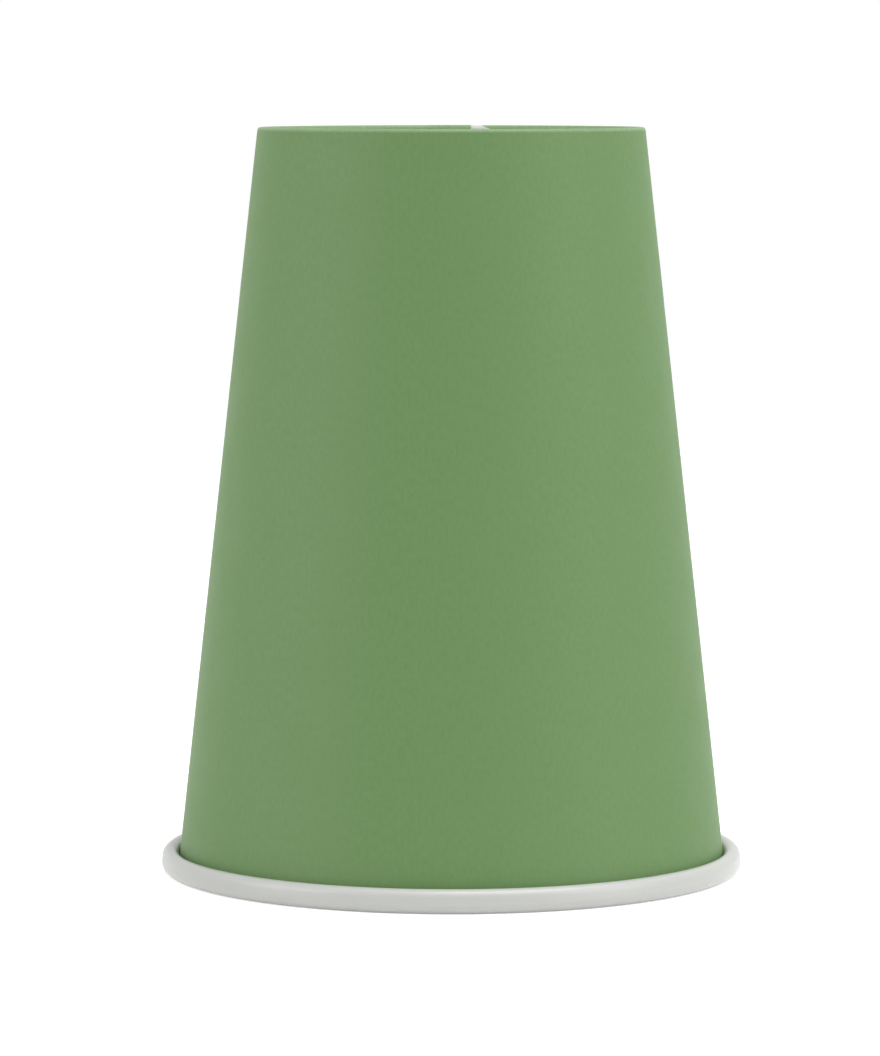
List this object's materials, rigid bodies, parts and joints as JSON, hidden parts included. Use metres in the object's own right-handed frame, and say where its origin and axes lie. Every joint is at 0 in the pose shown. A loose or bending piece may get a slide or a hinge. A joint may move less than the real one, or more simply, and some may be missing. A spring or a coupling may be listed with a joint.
{
  "type": "paper cup",
  "caption": "Tapered single-wall paper cup with a rolled rim, a back lap seam and a recessed base, standing mouth down.",
  "frame": {"origin": "centre of the plane that the rolled rim stands on, under the middle of the mouth", "axes": "+Z along the cup's axis, from the mouth up to the foot; the lap seam is at the back, about along +Y"},
  "size_m": [0.09, 0.09, 0.115],
  "materials": {
    "printed_board": "matte",
    "plain_board": "matte"
  },
  "bodies": {
    "root": {"side_wall": "printed_board", "base_disc": "plain_board"}
  },
  "joints": []
}
